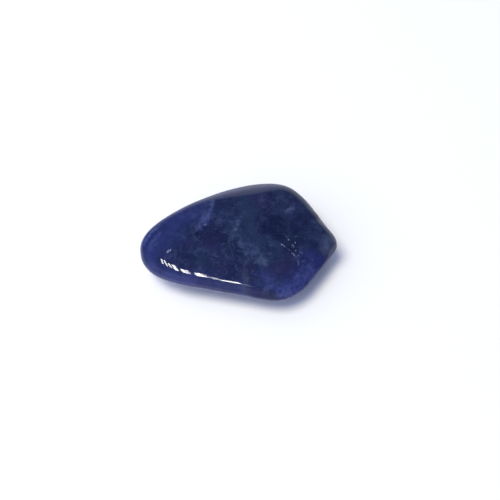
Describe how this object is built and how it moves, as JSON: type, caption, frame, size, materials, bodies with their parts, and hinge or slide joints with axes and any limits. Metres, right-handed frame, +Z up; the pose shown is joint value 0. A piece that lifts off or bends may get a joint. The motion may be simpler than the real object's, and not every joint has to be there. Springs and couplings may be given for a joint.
{
  "type": "tumbled sodalite stone",
  "caption": "Flat tumbled sodalite stone with a blunt end, a pointed tip, rounded polished edges and a small flat spot to lie on.",
  "frame": {"origin": "on the surface that the stone lies on, under the middle of its bounding box", "axes": "+X along the stone from its blunt end to its pointed tip, +Y from its front side to its bevelled back, +Z up from its flat spot"},
  "size_m": [0.0312, 0.021, 0.0075],
  "materials": {
    "sodalite": "high polish, dark blue with paler blue veins and clouds, slightly translucent at thin edges"
  },
  "bodies": {
    "root": {"sodalite_stone": "sodalite"}
  },
  "joints": []
}
